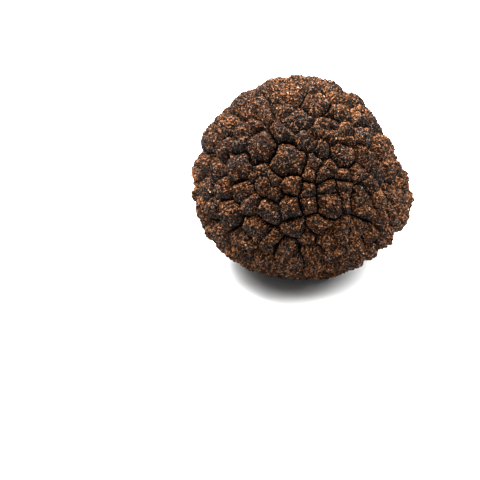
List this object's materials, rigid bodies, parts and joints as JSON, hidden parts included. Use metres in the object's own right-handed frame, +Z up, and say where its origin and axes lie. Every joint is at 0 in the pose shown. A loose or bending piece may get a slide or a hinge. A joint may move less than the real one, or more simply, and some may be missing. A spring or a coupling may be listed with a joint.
{
  "type": "black truffle",
  "caption": "Whole black truffle: a rounded, slightly domed fruiting body covered in polygonal warts, lying on a small flat spot.",
  "frame": {"origin": "under the middle of the body, on the surface that it lies on", "axes": "+Z up through the crown, front towards -Y, widest along X"},
  "size_m": [0.0615, 0.056, 0.0532],
  "materials": {
    "truffle_skin": "matt, rough, black-brown warty rind with rust-brown flecks and near-black grooves"
  },
  "bodies": {
    "root": {"truffle": "truffle_skin"}
  },
  "joints": []
}
